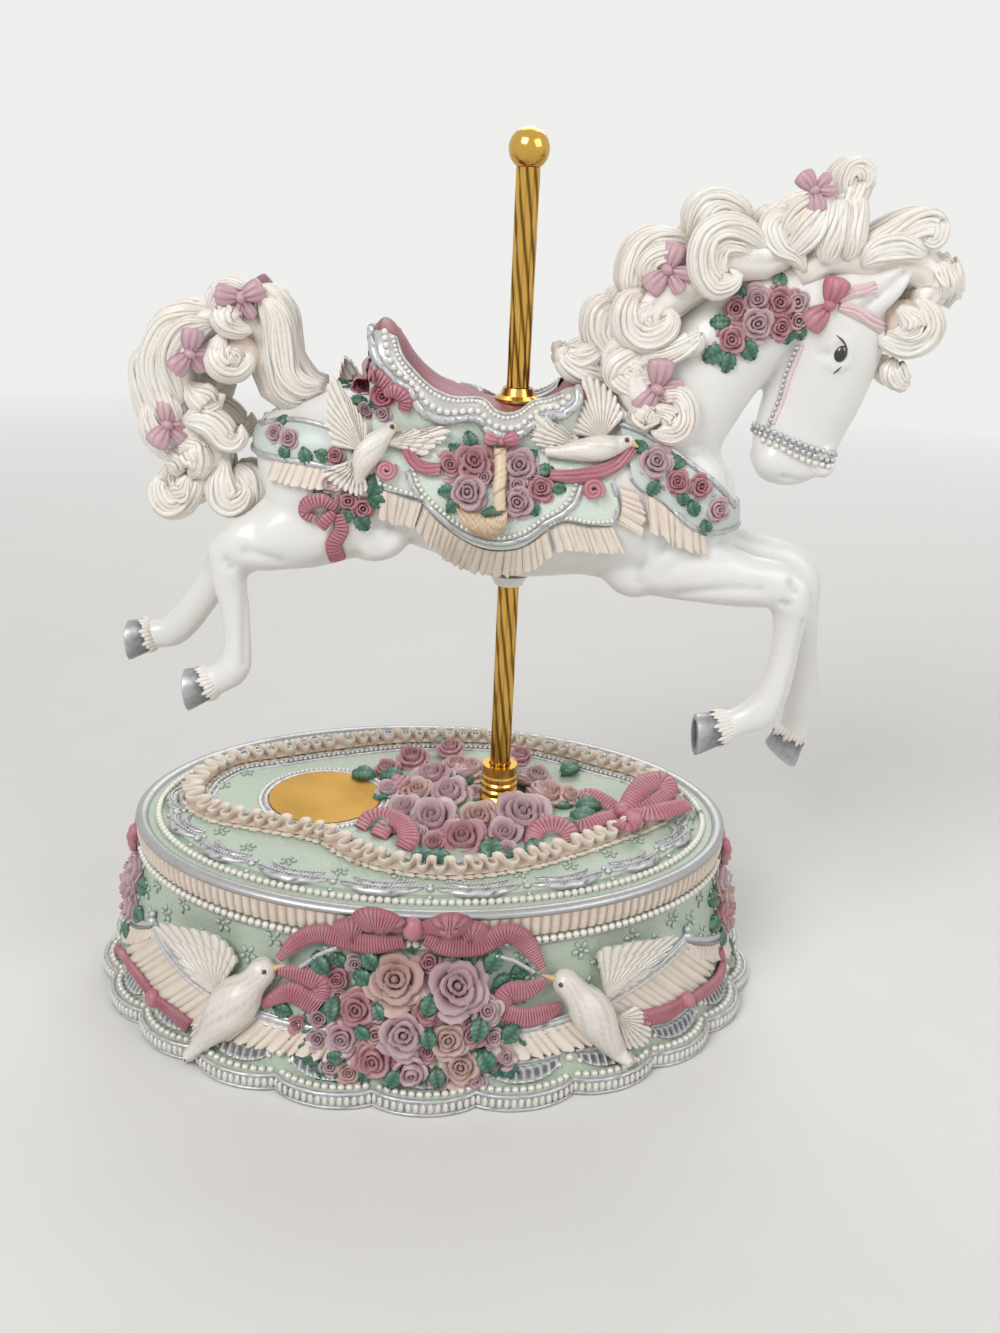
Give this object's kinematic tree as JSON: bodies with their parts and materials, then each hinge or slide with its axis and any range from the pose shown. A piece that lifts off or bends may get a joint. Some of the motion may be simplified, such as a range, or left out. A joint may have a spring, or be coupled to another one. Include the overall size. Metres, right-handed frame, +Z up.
{
  "type": "carousel horse music box",
  "caption": "Wind-up music box: a white jumping horse on a twisted brass pole that rises and falls over an oval base dressed with roses, doves and ribbons.",
  "frame": {"origin": "point on the table under the pole's axis", "axes": "+X towards the horse's head, +Y away from its near side, +Z up along the pole"},
  "size_m": [0.2397, 0.153, 0.2462],
  "materials": {
    "resin_green": "satin painted resin",
    "resin_white": "satin white resin",
    "resin_cream": "satin cream resin",
    "resin_rose": "satin rose resin",
    "resin_mint": "glittered mint resin",
    "brass": "polished",
    "movement_brass": "satin",
    "steel": "satin",
    "casting": "as cast",
    "cover_board": "matte black",
    "felt": "felt",
    "eye_black": "gloss"
  },
  "bodies": {
    "base": {"base_shell": "resin_green", "bottom_cover": "cover_board", "cover_screws": "steel", "felt_pads": "felt", "medallion": "brass", "pole_ferrule": "brass", "front_rose_spray": "resin_rose", "back_rose_spray": "resin_rose", "right_rose_spray": "resin_rose", "left_rose_spray": "resin_rose", "top_rose_wreath": "resin_rose", "top_ruffle": "resin_cream", "wall_doves": "resin_white", "cam_bracket": "steel", "movement_bedplate": "casting", "movement_screws": "steel", "comb": "steel", "comb_screws": "steel", "spring_barrel": "steel", "mainspring": "steel"},
    "horse": {"horse_casting": "resin_white", "horse_eyes": "eye_black", "mane": "resin_cream", "forelock": "resin_cream", "tail": "resin_cream", "saddle": "resin_rose", "saddle_cloth": "resin_mint", "chest_strap": "resin_mint", "rump_strap": "resin_mint", "twisted_pole": "brass", "ball_finial": "brass", "saddle_flange": "brass", "belly_collar": "resin_white", "lift_fork": "casting", "roller_pin": "steel"},
    "roller": {"lift_roller": "steel"},
    "cam": {"heart_cam": "movement_brass", "cam_arbor": "steel", "cam_pinion": "movement_brass"},
    "winder": {"key_arbor": "steel", "great_wheel": "movement_brass", "winding_key": "steel"},
    "drum": {"music_drum": "movement_brass", "drum_arbor": "steel", "great_pinion": "movement_brass", "drive_wheel": "movement_brass", "governor_wheel": "movement_brass"},
    "slow_shaft_set": {"slow_shaft": "steel", "slow_pinion": "movement_brass", "slow_wheel": "movement_brass"},
    "fly_set": {"fly": "movement_brass", "fly_pinion": "movement_brass"}
  },
  "joints": [
    {"name": "horse_lift", "type": "slide", "parent": "base", "child": "horse", "axis": [0, 0, 1], "range_m": [0, 0.008]},
    {"name": "cam_turn", "type": "hinge", "parent": "base", "child": "cam", "pos_m": [0, 0, 0.0263], "axis": [0, 1, 0], "range_deg": [0, 180]},
    {"name": "roller_spin", "type": "hinge", "parent": "horse", "child": "roller", "pos_m": [0, 0, 0.0323], "axis": [0, 1, 0], "continuous": true},
    {"name": "key_turn", "type": "hinge", "parent": "base", "child": "winder", "pos_m": [-0.01875, -0.0223, 0], "axis": [0, 0, 1], "continuous": true},
    {"name": "drum_turn", "type": "hinge", "parent": "base", "child": "drum", "pos_m": [-0.01875, 0, 0.0263], "axis": [0, 1, 0], "continuous": true},
    {"name": "slow_turn", "type": "hinge", "parent": "base", "child": "slow_shaft_set", "pos_m": [-0.00825, 0, 0.0263], "axis": [0, 1, 0], "continuous": true},
    {"name": "fly_turn", "type": "hinge", "parent": "base", "child": "fly_set", "pos_m": [-0.00825, 0, 0.0368], "axis": [0, 1, 0], "continuous": true}
  ],
  "couplings": [
    {"joint": "cam_turn", "follows": "horse_lift", "rad_per_m": 392.7},
    {"joint": "drum_turn", "follows": "key_turn", "ratio": 3},
    {"joint": "slow_turn", "follows": "key_turn", "ratio": -7.5},
    {"joint": "fly_turn", "follows": "key_turn", "ratio": 18.75}
  ]
}
